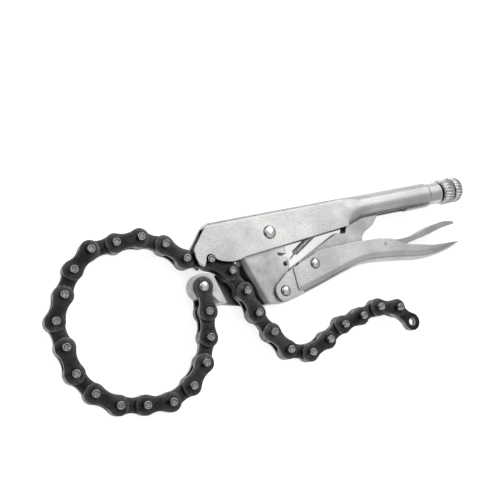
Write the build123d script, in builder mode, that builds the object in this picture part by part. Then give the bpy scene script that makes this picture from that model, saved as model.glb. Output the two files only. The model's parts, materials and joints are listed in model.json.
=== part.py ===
from build123d import *
import os
from math import cos, radians, sin

os.makedirs("parts", exist_ok=True)

# Locking pliers with a chain in place of jaws, lying on its side on a table.
# Lengths are in millimetres. X runs along the upper handle towards its adjusting knob,
# Z is up and parallel to every pivot. Places in the tool's plane are from the main rivet.

# Place of the main rivet in the frame, and of the tool's mid-plane above the table
RIVET_X, RIVET_Y = -8.895, 37.276
MID_Z = 11.0
TOOL = Plane(origin=(RIVET_X, RIVET_Y, MID_Z))

# Radial play of a pivot, radial play of a riveted pin, and play between chain plates
FIT = 0.05
PRESS = 0.01
SIDE_PLAY = 0.1

# Chain of standard 5/8 inch pitch. Inner links are two plates face to face, and outer
# links two plates apart that carry two long pins. What repeats is cut in straight sides.
PITCH = 15.875
PLATE_T = 2.0
PLATE_END_R = 6.25
PLATE_WAIST = 4.5
END_SWEEP, END_SIDES = 228, 8
PIN_R, PIN_SIDES = 2.4, 12
PIN_HALF = 8.6
EYE_R = 2.6
INNER_HALF = PLATE_T
OUTER_LOW = INNER_HALF + SIDE_PLAY
OUTER_HIGH = OUTER_LOW + PLATE_T
ANCHOR_LOW = OUTER_HIGH + SIDE_PLAY
ANCHOR_HIGH = ANCHOR_LOW + PLATE_T

# Link k joins pin k-1 to pin k, and its heading is measured from X. One pin hangs in
# the upper handle's notch, the loop runs back from it to the jaw, and the tail hangs free.
HUNG_PIN = 19
NOTCH = (-45.0, -9.2)
LOOP_HEADINGS = [
    -94.4, -101.6, -115.3, -135.7, -158.7, 171.1, 165, 140, 120.8, 96.7,
    98.2, 59.8, 56.8, 38.3, 4.7, 1.4, -26.7, -45.6, -13.3,
]
TAIL_HEADINGS = [-39.2, -65.6, -75, -63.7, -58.4, -20.4, 17.3, 25.9, 8.3, 9.8, -13.9, -50.3]

# Pivots of the clamp: jaw to lever, lever to toggle link, and the link's free end,
# which bears on the tip of the adjusting screw
JAW_LEVER = (0.4, -39.7)
LEVER_LINK = (26.8, -26.6)
SCREW_Y = 5.3
LINK_END = (91.0, SCREW_Y)

# Upper handle: a folded channel that turns into a round tube
SHEET = 2.3
CHEEK_IN = 5.0
CHEEK_OUT = CHEEK_IN + SHEET
BEND_R = 3.0
HANDLE_TOP = 14.0
NOSE_TOP = (-41.0, HANDLE_TOP)
NOSE_TIP = (-50.4, -13.4)
NOTCH_R = 3.1
CHANNEL_END_X, CHANNEL_END_Y = 62.0, -6.2
TUBE_R, TUBE_BORE_R = 9.0, 6.7
TUBE_START_X, TUBE_END_X = 75.0, 138.5
SLIT_END_X, SLIT_HALF = 117.0, 4.8
NUT_START_X = 124.0
NECK_R, NECK_END_X = 7.9, 150.0

# Adjusting screw and knob
SCREW_R = 4.7
LINK_END_R = 4.4
SCREW_TIP_GAP = 1.6
KNOB_R, KNOB_GROOVE_R, KNOB_GROOVE = 9.7, 8.2, 1.8
KNOB_START_X, KNOB_GROOVE_X, KNOB_END_X = 151.2, 160.6, 170.6
KNOB_NOSE = 3.2
KNURLS, KNURL_DEPTH = 20, 0.7

# Jaw: its body runs between the cheeks of the handle and the lever. A wall on the far
# side goes round the chain's tail to the nose.
JAW_HALF = 4.7
WALL_LOW, WALL_HIGH = -MID_Z, -8.9
NOSE_R = 8.4
JAW_ROUND = 4.5
JAW_EAR = (6.6, -22.2)

# Rivets
MAIN_SHANK_R, MAIN_HEAD_R = 3.0, 4.1
SMALL_SHANK_R, SMALL_HEAD_R = 2.4, 3.2
HEAD_H, HEAD_FLAT = 1.4, 0.6

# Lower lever
LUG_IN, LUG_OUT, LUG_R = 5.0, 7.2, 6.9
LEVER_IN, LEVER_OUT, LEVER_SHEET = 5.8, 8.0, 2.2
LEVER_FRONT_X = 9.8
LEVER_ROUND, LEVER_HEADING = 5.5, 10
LEVER_LOW = [
    (9.8, -45.2), (38.0, -39.3), (57.7, -35.0), (76.8, -34.1), (108.0, -38.5), (135.0, -39.4), (153.0, -35.2),
]
LEVER_TOP = [
    (4.5, -28.5), (32.2, -18.6), (60.0, -18.4), (81.0, -19.2), (92.0, -21.4), (105.4, -28.0), (127.0, -32.7),
    (152.0, -34.2),
]
LEVER_INSIDE_END = (149.5, -34.2)

# Toggle link and release lever
LINK_HALF = 4.0
RELEASE_PIVOT = (86.6, -24.3)
RELEASE_HALF, RELEASE_T = 5.4, 1.6
TRUNNION_R = 1.3

# Spring from the jaw's ear to a tab inside the upper handle
SPRING_R, WIRE_R = 2.3, 0.5
TAB = (57.0, 5.0)
TAB_T = 2.0


def save(part, name):
    """Labels a finished piece and writes it as one STEP file."""
    part.label = name
    export_step(part, f"parts/{name}.step")


def beyond(start, heading, length):
    """Point at a distance from another one, along a heading in degrees."""
    return (start[0] + length * cos(radians(heading)), start[1] + length * sin(radians(heading)))


def link_plane(start, heading):
    """Plane of the tool's mid-plane with its origin on a pin and X along the link."""
    x_dir = (cos(radians(heading)), sin(radians(heading)), 0)
    return Plane(TOOL.from_local_coords((start[0], start[1], 0)), x_dir=x_dir, z_dir=(0, 0, 1))


def cross_plane(x):
    """Plane across the upper handle's tube, centred on its axis."""
    return Plane(TOOL.from_local_coords((x, SCREW_Y, 0)), x_dir=(0, 1, 0), z_dir=(1, 0, 0))


def rivet(centre, shank_r, head_r, half_length):
    """A rivet across the tool, with a low cone of a head on each outer face."""
    axis_plane = Plane(TOOL.from_local_coords((centre[0], centre[1], 0)), x_dir=(1, 0, 0), z_dir=(0, -1, 0))
    top, flat_r = half_length + HEAD_H, HEAD_FLAT * head_r
    with BuildPart() as piece:
        with BuildSketch(axis_plane):
            Polygon(
                (0, -top), (flat_r, -top), (head_r, -half_length), (shank_r, -half_length),
                (shank_r, half_length), (head_r, half_length), (flat_r, top), (0, top), align=None,
            )
        revolve(axis=Axis(axis_plane.origin, (0, 0, 1)))
    return piece.part


def plate_outline():
    """Corners of a chain plate: each end is half round, and between the ends is a waist."""
    corners = []
    for end_x, turn, side in ((PITCH, 0, 1), (0, 180, -1)):
        for step in range(END_SIDES + 1):
            angle = radians(turn + END_SWEEP * (step / END_SIDES - 0.5))
            corners.append((end_x + PLATE_END_R * cos(angle), PLATE_END_R * sin(angle)))
        corners.append((PITCH / 2, side * PLATE_WAIST))
    return corners


def bored_plate(frame, low, high, first_hole, second_hole):
    """Chain plate between two heights, with a round hole at each end."""
    with BuildPart() as piece:
        with BuildSketch(frame.offset(low)):
            Polygon(*plate_outline(), align=None)
            Circle(first_hole, mode=Mode.SUBTRACT)
            with Locations((PITCH, 0)):
                Circle(second_hole, mode=Mode.SUBTRACT)
        extrude(amount=high - low)
    return piece.part


def pinned_link(frame):
    """Outer link: two plates pressed on two long pins that stand out on both sides."""
    with BuildPart() as piece:
        for low in (OUTER_LOW, -OUTER_HIGH):
            with BuildSketch(frame.offset(low)):
                Polygon(*plate_outline(), align=None)
            extrude(amount=PLATE_T)
        with BuildSketch(frame.offset(-PIN_HALF)):
            with Locations((0, 0), (PITCH, 0)):
                RegularPolygon(PIN_R, PIN_SIDES)
        extrude(amount=2 * PIN_HALF)
    return piece.part


def smooth_arcs(points, first_heading):
    """Arcs through the points, each one starting in the direction the last one ends in."""
    arcs = []
    direction = (cos(radians(first_heading)), sin(radians(first_heading)))
    for start, end in zip(points, points[1:]):
        arcs.append(TangentArc(start, end, tangent=direction))
        direction = arcs[-1] % 1
    return arcs


def knurled_outline():
    """Corners of the knob's outline: flat tops with V-shaped grooves between them."""
    corners = []
    for tooth in range(KNURLS):
        for share, radius in ((0.0, KNOB_R), (0.5, KNOB_R), (0.75, KNOB_R - KNURL_DEPTH)):
            angle = radians(360 * (tooth + share) / KNURLS)
            corners.append((radius * cos(angle), radius * sin(angle)))
    return corners


# Pins of the whole chain, worked out from the one in the notch
pins = {HUNG_PIN: NOTCH}
for k in range(HUNG_PIN, 0, -1):
    pins[k - 1] = beyond(pins[k], LOOP_HEADINGS[k - 1], -PITCH)
for k, heading in enumerate(TAIL_HEADINGS, HUNG_PIN + 1):
    pins[k] = beyond(pins[k - 1], heading, PITCH)
headings = dict(enumerate(LOOP_HEADINGS + TAIL_HEADINGS, 1))
LAST_LINK = len(headings)
ANCHOR = pins[0]

# Chain links: the first on the jaw's nose, outer and inner ones in turn, the last an open eye
for k, heading in headings.items():
    frame = link_plane(pins[k - 1], heading)
    if k == 1:
        near = bored_plate(frame, ANCHOR_LOW, ANCHOR_HIGH, SMALL_SHANK_R + PRESS, PIN_R + FIT)
        far = bored_plate(frame, -ANCHOR_HIGH, -ANCHOR_LOW, SMALL_SHANK_R + PRESS, PIN_R + FIT)
        save(Compound(children=[near, far]), "anchor_link_01")
    elif k % 2 == 0:
        save(pinned_link(frame), f"outer_link_{k:02d}")
    elif k < LAST_LINK:
        save(bored_plate(frame, -INNER_HALF, INNER_HALF, PIN_R + FIT, PIN_R + FIT), f"inner_link_{k:02d}")
    else:
        save(bored_plate(frame, -INNER_HALF, INNER_HALF, PIN_R + FIT, EYE_R), f"eye_link_{k:02d}")

# Upper handle
with BuildPart() as upper_handle:
    # Channel with the nose and its notch for a chain pin
    with BuildSketch(TOOL.offset(-CHEEK_OUT)):
        with BuildLine():
            Polyline(NOSE_TOP, (CHANNEL_END_X, HANDLE_TOP), (CHANNEL_END_X, CHANNEL_END_Y), (-21.0, -12.3))
            ThreePointArc((-21.0, -12.3), (-32.5, -13.4), (-40.6, -10.6))
            Line((-40.6, -10.6), (-41.9, -9.2))
            ThreePointArc((-41.9, -9.2), (NOTCH[0], NOTCH[1] + NOTCH_R), (-48.1, -9.4))
            Line((-48.1, -9.4), NOSE_TIP)
            ThreePointArc(NOSE_TIP, (-54.6, -4.0), (-51.2, 2.2))
            Line((-51.2, 2.2), NOSE_TOP)
        make_face()
    extrude(amount=2 * CHEEK_OUT)
    fillet(upper_handle.edges().filter_by(Axis.X).group_by(Axis.Y)[-1], radius=BEND_R)
    # Tube, blended into the channel
    with BuildSketch(cross_plane(CHANNEL_END_X)):
        with Locations(((HANDLE_TOP + CHANNEL_END_Y) / 2 - SCREW_Y, 0)):
            RectangleRounded(HANDLE_TOP - CHANNEL_END_Y, 2 * CHEEK_OUT, BEND_R)
    with BuildSketch(cross_plane(TUBE_START_X)):
        Circle(TUBE_R)
    loft()
    with BuildSketch(cross_plane(TUBE_START_X)):
        Circle(TUBE_R)
    extrude(amount=TUBE_END_X - TUBE_START_X)
    chamfer(upper_handle.edges().filter_by(GeomType.CIRCLE).sort_by(Axis.X)[-1], length=1.6, length2=1.1)
    with BuildSketch(cross_plane(TUBE_END_X - 1)):
        Circle(NECK_R)
    extrude(amount=NECK_END_X - TUBE_END_X + 1)
    chamfer(upper_handle.edges().filter_by(GeomType.CIRCLE).sort_by(Axis.X)[-1], length=0.6)
    # Inside of the channel, open below
    with BuildSketch(TOOL.offset(-CHEEK_IN)):
        Polygon(
            (-70, HANDLE_TOP - SHEET), (CHANNEL_END_X, HANDLE_TOP - SHEET), (CHANNEL_END_X, -20), (-70, -20),
            align=None,
        )
    extrude(amount=2 * CHEEK_IN, mode=Mode.SUBTRACT)
    # Inside of the blend and the tube, and the screw's hole in the neck
    with BuildSketch(cross_plane(CHANNEL_END_X)):
        with Locations(((HANDLE_TOP - SHEET + CHANNEL_END_Y) / 2 - SCREW_Y, 0)):
            RectangleRounded(HANDLE_TOP - SHEET - CHANNEL_END_Y, 2 * CHEEK_IN, 1.0)
    with BuildSketch(cross_plane(TUBE_START_X)):
        Circle(TUBE_BORE_R)
    loft(mode=Mode.SUBTRACT)
    with BuildSketch(cross_plane(TUBE_START_X)):
        Circle(TUBE_BORE_R)
    extrude(amount=NUT_START_X - TUBE_START_X, mode=Mode.SUBTRACT)
    with BuildSketch(cross_plane(NUT_START_X)):
        Circle(SCREW_R + FIT)
    extrude(amount=NECK_END_X - NUT_START_X, mode=Mode.SUBTRACT)
    # Slit below, where the rolled edges of the sheet don't meet
    with BuildSketch(TOOL.offset(-SLIT_HALF)):
        Polygon(
            (CHANNEL_END_X - 1, 1.0), (SLIT_END_X, 1.0), (SLIT_END_X, -9), (CHANNEL_END_X - 1, -9), align=None
        )
    extrude(amount=2 * SLIT_HALF, mode=Mode.SUBTRACT)
    # Hole for the main rivet
    with BuildSketch(TOOL.offset(-CHEEK_OUT)):
        Circle(MAIN_SHANK_R + PRESS)
    extrude(amount=2 * CHEEK_OUT, mode=Mode.SUBTRACT)
    # Tab pressed down from the top web, with a hole for the spring's end
    with BuildSketch(TOOL.offset(-2.5)):
        Polygon(
            (TAB[0], HANDLE_TOP - SHEET + 0.5), (TAB[0] + TAB_T, HANDLE_TOP - SHEET + 0.5),
            (TAB[0] + TAB_T, TAB[1] - 2.8), (TAB[0], TAB[1] - 2.8), align=None,
        )
    extrude(amount=5.0)
    with BuildSketch(Plane(TOOL.from_local_coords((TAB[0] - 1, TAB[1], 0)), z_dir=(1, 0, 0))):
        Circle(1.2)
    extrude(amount=TAB_T + 2, mode=Mode.SUBTRACT)
save(upper_handle.part, "upper_handle")

# Rivets: the first three in the handle and the lever, the last in the jaw's nose
save(rivet((0, 0), MAIN_SHANK_R, MAIN_HEAD_R, CHEEK_OUT), "main_rivet")
save(rivet(JAW_LEVER, SMALL_SHANK_R, SMALL_HEAD_R, LUG_OUT), "jaw_lever_rivet")
save(rivet(LEVER_LINK, SMALL_SHANK_R, SMALL_HEAD_R, LEVER_OUT), "link_rivet")
save(rivet(ANCHOR, SMALL_SHANK_R, SMALL_HEAD_R, ANCHOR_HIGH), "anchor_rivet")

# Jaw
JAW_FRONT = [(-23.9, -17.0), (-19.6, -31.5), (-15.6, -44.7)]
WALL_BACK_X = -9.6
with BuildPart() as jaw:
    # Body with the boss on the main rivet, the boss on the lever's rivet and the spring's ear
    with BuildSketch(TOOL.offset(-JAW_HALF)):
        with BuildLine():
            Polyline((-8.3, 3.5), (-23.6, -12.6), JAW_FRONT[0])
            ThreePointArc(*JAW_FRONT)
            Polyline(JAW_FRONT[2], (-1.6, -46.4), (7.3, -39.7), (6.6, -28.5), (9.2, -24.0), (9.2, -11.4))
            Polyline((9.2, -11.4), (8.6, -2.6), (-8.3, 3.5))
        make_face()
        Circle(9.0)
        with Locations(JAW_LEVER):
            Circle(7.0)
        with Locations(JAW_EAR):
            Circle(2.9)
    extrude(amount=2 * JAW_HALF)
    near_edges = jaw.edges().filter_by_position(Axis.Z, MID_Z + JAW_HALF, MID_Z + JAW_HALF)
    fillet(near_edges.filter_by(GeomType.CIRCLE).sort_by(SortBy.RADIUS)[-1], radius=JAW_ROUND)
    # Far wall behind the chain's tail, and the step down to it from the body
    with BuildSketch(TOOL.offset(WALL_LOW)):
        with BuildLine():
            Line((-46.6, -19.4), (-23.9, -17.0))
            Polyline((-23.9, -17.0), (-12.5, -17.0), (WALL_BACK_X, -22.0), (WALL_BACK_X, -45.4))
            Polyline((WALL_BACK_X, -45.4), JAW_FRONT[2], (-38.5, -38.0), (-45.5, -36.6), (-46.6, -19.4))
        make_face()
    extrude(amount=WALL_HIGH - WALL_LOW)
    with BuildSketch(TOOL.offset(WALL_LOW)):
        with BuildLine():
            ThreePointArc(*JAW_FRONT)
            Polyline(JAW_FRONT[2], (WALL_BACK_X, -45.4), (WALL_BACK_X, -22.0), (-12.5, -17.0), JAW_FRONT[0])
        make_face()
    extrude(amount=-WALL_LOW - JAW_HALF + 1)
    # Nose between the anchor plates, and its foot on the far wall
    with BuildSketch(TOOL.offset(-OUTER_HIGH)):
        with Locations(ANCHOR):
            Circle(NOSE_R)
        with BuildLine():
            Polyline((-52.5, -16.8), (-45.2, -18.0), (-40.6, -38.2), (-45.5, -36.8), (-50.0, -30.0), close=True)
        make_face()
    extrude(amount=2 * OUTER_HIGH)
    with BuildSketch(TOOL.offset(WALL_LOW)):
        with BuildLine():
            Polyline((-46.9, -19.4), (-44.9, -19.4), (-40.6, -38.2), (-45.5, -36.8), (-46.9, -32.0), close=True)
        make_face()
    extrude(amount=-WALL_LOW)
    # Pivot holes
    with BuildSketch(TOOL.offset(WALL_LOW)):
        Circle(MAIN_SHANK_R + FIT)
        with Locations(JAW_LEVER):
            Circle(SMALL_SHANK_R + FIT)
        with Locations(ANCHOR):
            Circle(SMALL_SHANK_R + PRESS)
        with Locations(JAW_EAR):
            Circle(1.5)
    extrude(amount=2 * MID_Z, mode=Mode.SUBTRACT)
    # Slot in the rear edge
    with BuildSketch(TOOL.offset(-JAW_HALF)):
        with Locations((6.4, -16.0)):
            SlotOverall(7.6, 2.0, rotation=-20)
    extrude(amount=2 * JAW_HALF, mode=Mode.SUBTRACT)
save(jaw.part, "jaw")

# Lower lever: a channel open above, with two lugs beside the jaw
with BuildPart() as lever:
    with BuildSketch(TOOL.offset(-LEVER_OUT)):
        with BuildLine():
            low = smooth_arcs(LEVER_LOW, LEVER_HEADING)
            Polyline(low[-1] @ 1, *reversed(LEVER_TOP[1:]), (LEVER_FRONT_X, -26.6), low[0] @ 0)
        make_face()
    extrude(amount=2 * LEVER_OUT)
    fillet(lever.edges().filter_by(GeomType.CIRCLE), radius=LEVER_ROUND)
    with BuildSketch(TOOL.offset(-LEVER_IN)):
        with BuildLine():
            raised = [(x, y + LEVER_SHEET) for x, y in LEVER_LOW[:-1]]
            inside = smooth_arcs(raised + [LEVER_INSIDE_END], LEVER_HEADING)
            Polyline(inside[-1] @ 1, (149.5, -10.0), (0, -10.0), (0, inside[0].position_at(0).Y), inside[0] @ 0)
        make_face()
    extrude(amount=2 * LEVER_IN, mode=Mode.SUBTRACT)
    # Lugs, set inwards to meet the jaw
    for base in (LUG_IN, -LUG_OUT):
        with BuildSketch(TOOL.offset(base)):
            with Locations(JAW_LEVER):
                Circle(LUG_R)
            with BuildLine():
                Polyline((-3.6, -34.1), (4.5, -28.5), (13.5, -25.2), (13.5, -44.2), (9.8, -45.0), (1.4, -46.5))
                Line((1.4, -46.5), (-3.6, -34.1))
            make_face()
        extrude(amount=LUG_OUT - LUG_IN)
    with BuildSketch(TOOL.offset(-LEVER_OUT)):
        with Locations(JAW_LEVER, LEVER_LINK):
            Circle(SMALL_SHANK_R + PRESS)
        with Locations(RELEASE_PIVOT):
            Circle(TRUNNION_R + FIT)
    extrude(amount=2 * LEVER_OUT, mode=Mode.SUBTRACT)
save(lever.part, "lower_lever")

# Toggle link
with BuildPart() as toggle_link:
    with BuildSketch(TOOL.offset(-LINK_HALF)):
        with Locations(LEVER_LINK):
            Circle(6.5)
        with Locations(LINK_END):
            Circle(LINK_END_R)
        with BuildLine():
            Polyline((23.9, -20.8), (52.0, -9.2), (54.6, -10.4), (58.9, -10.6), (61.5, -5.2), (88.6, 9.0))
            Polyline((88.6, 9.0), (94.6, 2.8), (83.3, -8.5), (78.0, -11.2))
            ThreePointArc((78.0, -11.2), (72.5, -14.6), (70.2, -19.8))
            Polyline((70.2, -19.8), (66.0, -22.6), (29.4, -32.5), (23.9, -20.8))
        make_face()
    extrude(amount=2 * LINK_HALF)
    with BuildSketch(TOOL.offset(-LINK_HALF)):
        with Locations(LEVER_LINK):
            Circle(SMALL_SHANK_R + FIT)
    extrude(amount=2 * LINK_HALF, mode=Mode.SUBTRACT)
save(toggle_link.part, "toggle_link")

# Release lever: a bent sheet with a turned-down rim on each side and two side lugs
RELEASE_TOP = [(73.2, -22.8), (86.0, -22.0), (106.0, -22.8), (125.0, -20.0), (141.0, -17.2), (153.0, -19.0)]
RELEASE_LOW = [
    (73.2, -24.4), (82.0, -24.2), (88.5, -27.6), (106.5, -27.2), (125.0, -24.6), (141.0, -21.6), (153.0, -20.6),
]
with BuildPart() as release_lever:
    with BuildSketch(TOOL.offset(-RELEASE_HALF)):
        with BuildLine():
            crest = Spline(*RELEASE_TOP)
            rims = Spline(*RELEASE_LOW)
            Line(crest @ 0, rims @ 0)
            Line(crest @ 1, rims @ 1)
        make_face()
    extrude(amount=2 * RELEASE_HALF)
    with BuildSketch(TOOL.offset(RELEASE_T - RELEASE_HALF)):
        with BuildLine():
            under = Spline(*[(x, y - RELEASE_T) for x, y in RELEASE_TOP[1:-1]], (149.5, -20.2))
            Polyline(under @ 1, (149.5, -40), (86.0, -40), under @ 0)
        make_face()
    extrude(amount=2 * (RELEASE_HALF - RELEASE_T), mode=Mode.SUBTRACT)
    for base in (-LEVER_OUT, RELEASE_HALF - RELEASE_T / 2):
        with BuildSketch(TOOL.offset(base)):
            with Locations(RELEASE_PIVOT):
                Circle(TRUNNION_R)
        extrude(amount=LEVER_OUT - RELEASE_HALF + RELEASE_T / 2)
save(release_lever.part, "release_lever")

# Adjusting screw
SCREW_TIP_X = LINK_END[0] + LINK_END_R + SCREW_TIP_GAP
SCREW_HEAD_X = KNOB_END_X - 4.0
with BuildPart() as screw:
    with BuildSketch(cross_plane(SCREW_TIP_X)):
        Circle(SCREW_R)
    extrude(amount=SCREW_HEAD_X - SCREW_TIP_X)
    chamfer(screw.edges().filter_by(GeomType.CIRCLE).sort_by(Axis.X)[0], length=1.0)
save(screw.part, "adjusting_screw")

# Adjusting knob: two knurled rings with a groove between them
with BuildPart() as knob:
    for ring_start, ring_end in ((KNOB_START_X, KNOB_GROOVE_X), (KNOB_GROOVE_X + KNOB_GROOVE, KNOB_END_X)):
        with BuildSketch(cross_plane(ring_start)):
            with BuildLine():
                Polyline(*knurled_outline(), close=True)
            make_face()
        extrude(amount=ring_end - ring_start)
    # Only what is inside this turned shape is left
    with BuildSketch(Plane(TOOL.from_local_coords((0, SCREW_Y, 0)))):
        Polygon(
            (KNOB_START_X, 0), (KNOB_START_X, KNOB_R), (KNOB_END_X - KNOB_NOSE, KNOB_R),
            (KNOB_END_X, KNOB_R - KNOB_NOSE), (KNOB_END_X, 0), align=None,
        )
    revolve(axis=Axis(TOOL.from_local_coords((0, SCREW_Y, 0)), (1, 0, 0)), mode=Mode.INTERSECT)
    with BuildSketch(cross_plane(KNOB_GROOVE_X)):
        Circle(KNOB_GROOVE_R)
    extrude(amount=KNOB_GROOVE)
    with BuildSketch(cross_plane(KNOB_START_X)):
        Circle(SCREW_R + FIT)
    extrude(amount=SCREW_HEAD_X - KNOB_START_X, mode=Mode.SUBTRACT)
save(knob.part, "adjusting_knob")

# Spring: a plain tube for the coil, with a straight wire at each end
EAR_SIDE = (JAW_EAR[0] + 1.4, JAW_EAR[1] + 0.8)
spring_line = Vector(TAB[0] - EAR_SIDE[0], TAB[1] - EAR_SIDE[1], 0)
COIL_FROM, COIL_TO = 11.0, spring_line.length - 8.0
SPRING_START, SPRING_END = 2.2, spring_line.length - 0.6
spring_plane = Plane(TOOL.from_local_coords((EAR_SIDE[0], EAR_SIDE[1], 0)), z_dir=spring_line)
with BuildPart() as spring:
    with BuildSketch(spring_plane.offset(COIL_FROM)):
        Circle(SPRING_R)
    extrude(amount=COIL_TO - COIL_FROM)
    with BuildSketch(spring_plane.offset(SPRING_START)):
        Circle(WIRE_R)
    extrude(amount=SPRING_END - SPRING_START)
save(spring.part, "spring")
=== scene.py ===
# %% [markdown]
# # Locking chain clamp
# Locking pliers whose jaws are replaced by a chain. The chain goes round a pipe, one of its pins drops
# into the notch of the upper handle, and closing the lower lever pulls the loop tight. The tool lies on
# its side on a pale table.
#
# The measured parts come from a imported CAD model, called the frame, in which every piece is already at
# its size and place. This script gives the pressed and forged pieces their finish, and builds again those
# whose small shapes matter most to the eye: chain plates, pins, rivet heads, knob, screw thread and spring.

# %% Load the frame
import json
from math import atan2, cos, hypot, radians, sin, tau

import bmesh
import bpy
from mathutils import Matrix, Vector


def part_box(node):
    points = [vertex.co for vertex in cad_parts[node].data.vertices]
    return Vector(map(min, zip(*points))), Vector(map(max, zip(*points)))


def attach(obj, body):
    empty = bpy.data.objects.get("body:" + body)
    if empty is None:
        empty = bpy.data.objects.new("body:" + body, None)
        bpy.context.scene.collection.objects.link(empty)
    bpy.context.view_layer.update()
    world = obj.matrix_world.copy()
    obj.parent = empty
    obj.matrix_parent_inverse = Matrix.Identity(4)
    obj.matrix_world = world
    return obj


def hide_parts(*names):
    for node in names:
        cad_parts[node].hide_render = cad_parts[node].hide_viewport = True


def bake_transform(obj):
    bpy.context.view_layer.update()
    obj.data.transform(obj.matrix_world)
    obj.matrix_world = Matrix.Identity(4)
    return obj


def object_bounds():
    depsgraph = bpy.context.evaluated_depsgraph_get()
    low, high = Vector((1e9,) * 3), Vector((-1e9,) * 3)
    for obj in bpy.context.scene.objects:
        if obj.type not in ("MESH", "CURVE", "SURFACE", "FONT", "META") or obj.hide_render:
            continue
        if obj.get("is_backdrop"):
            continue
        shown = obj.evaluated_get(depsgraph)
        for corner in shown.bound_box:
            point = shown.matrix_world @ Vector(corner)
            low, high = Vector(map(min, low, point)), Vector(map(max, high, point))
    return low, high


MM = 0.001
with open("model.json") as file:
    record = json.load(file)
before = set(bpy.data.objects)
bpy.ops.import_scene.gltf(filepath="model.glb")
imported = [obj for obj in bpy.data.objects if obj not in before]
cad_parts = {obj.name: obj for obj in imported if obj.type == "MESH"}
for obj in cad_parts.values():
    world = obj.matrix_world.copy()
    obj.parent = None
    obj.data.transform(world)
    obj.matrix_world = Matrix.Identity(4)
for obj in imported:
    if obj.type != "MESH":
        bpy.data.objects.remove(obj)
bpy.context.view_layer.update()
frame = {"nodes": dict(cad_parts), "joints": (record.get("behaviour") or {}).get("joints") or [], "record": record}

# %% [markdown]
# ## Where the pins are
# On the real tool a chain link can only turn on its pins, so nothing matters more to a chain than where its
# pins are. They could be typed in, but then they would miss the joints that move the links. So they are
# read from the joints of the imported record.
#
# Pin 0 holds the chain to the jaw, pin k joins link k to the next link, and the last one is the open eye.
# A mechanism of joints has to be a tree, so the closed loop is cut at one pin: the links before it hang
# from the jaw, and the links after it, counted backwards, hang from the pin in the handle's notch.

# %% Pins of the chain
joints = {j["name"]: j for j in frame["joints"]}
mounts = {m["name"]: m for m in frame["record"]["mounts"]}
JAW_SIDE_LINKS, HUNG_PIN, LAST_LINK = 10, 19, 31


def middle(node):
    """Centre of a CAD node's box."""
    low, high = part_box(node)
    return (low + high) / 2


pins = {LAST_LINK: Vector(mounts["chain_eye"]["pos_m"])}
for k in range(1, JAW_SIDE_LINKS + 1):
    pins[k - 1] = Vector(joints[f"loop_hinge_{k:02d}"]["pos_m"])
for k in range(JAW_SIDE_LINKS + 1, HUNG_PIN + 1):
    pins[k] = Vector(joints[f"loop_hinge_{k:02d}"]["pos_m"])
# No joint stands at the pin where the loop is cut, but its link lies evenly round its two pins
pins[JAW_SIDE_LINKS] = 2 * middle(f"outer_link_{JAW_SIDE_LINKS:02d}") - pins[JAW_SIDE_LINKS - 1]
for k in range(HUNG_PIN + 1, LAST_LINK):
    pins[k] = Vector(joints[f"tail_hinge_{k + 1:02d}"]["pos_m"])
main_pivot = Vector(joints["jaw_hinge"]["pos_m"])
MID_Z = main_pivot.z
print(len(pins), "chain pins, pitch in mm:", round((pins[5] - pins[4]).length / MM, 3))

# %% [markdown]
# ## From a bmesh to a piece
# Whatever a piece is on the real tool, it ends here in the same way. A piece could be made with the
# editor's own tools and then moved into place, but a bmesh can be shaped step by step and gives the same
# result each time. Its faces are turned outwards and shaded smooth, apart from its sharp edges, and it
# becomes one object at the origin that rides on a body of the mechanism.


# %% Finish a piece
def add_object(name, data):
    """Makes an object of a mesh, a curve, a lamp or a camera, and puts it in the scene."""
    made = bpy.data.objects.new(name, data)
    bpy.context.scene.collection.objects.link(made)
    return made


def finish_piece(bm, name, body, material, stands_for=(), smooth_below=40, second=None):
    """Turns a bmesh into a piece that moves with a body and stands for CAD nodes.

    Edges that turn by more degrees than smooth_below stay sharp. Faces whose material index is 1 get the
    second material.
    """
    bmesh.ops.recalc_face_normals(bm, faces=bm.faces)
    for face in bm.faces:
        face.smooth = True
    for edge in bm.edges:
        if edge.is_manifold and edge.calc_face_angle() > radians(smooth_below):
            edge.smooth = False
    mesh = bpy.data.meshes.new(name)
    bm.to_mesh(mesh)
    bm.free()
    mesh.materials.append(material)
    if second:
        mesh.materials.append(second)
    piece = add_object(name, mesh)
    if body:
        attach(piece, body)
    if stands_for:
        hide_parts(*stands_for)
    return piece


print(len(frame["nodes"]), "CAD nodes to paint or to replace")

# %% [markdown]
# ## Short words for shader nodes
# A finish on steel has a tone, a gloss and a grain that change from spot to spot, and in Blender a network
# of nodes works them out. It could be drawn by hand in the shader editor. In a script each node takes
# four or five lines, so the steps that come back get a word of their own. Each word adds one node to a
# tree and returns its output.


# %% Words for patterns
def feed(tree, socket, source):
    """Links a socket to a node's output, or gives it a fixed value."""
    if isinstance(source, bpy.types.NodeSocket):
        tree.links.new(source, socket)
    else:
        socket.default_value = source


def noise(tree, place, scale, detail, roughness=0.5):
    """Cloudy noise from 0 to 1 at a place."""
    node = tree.nodes.new("ShaderNodeTexNoise")
    feed(tree, node.inputs["Vector"], place)
    feed(tree, node.inputs["Scale"], scale)
    feed(tree, node.inputs["Detail"], detail)
    feed(tree, node.inputs["Roughness"], roughness)
    return node.outputs["Fac"]


def remap(tree, value, found, wanted=(0.0, 1.0), soft=False):
    """Stretches a value from the range in which it is found to the range that is wanted."""
    node = tree.nodes.new("ShaderNodeMapRange")
    if soft:
        node.interpolation_type = "SMOOTHSTEP"
    node.inputs["From Min"].default_value, node.inputs["From Max"].default_value = found
    node.inputs["To Min"].default_value, node.inputs["To Max"].default_value = wanted
    feed(tree, node.inputs["Value"], value)
    return node.outputs["Result"]


print("words for patterns: noise, remap")
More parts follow.
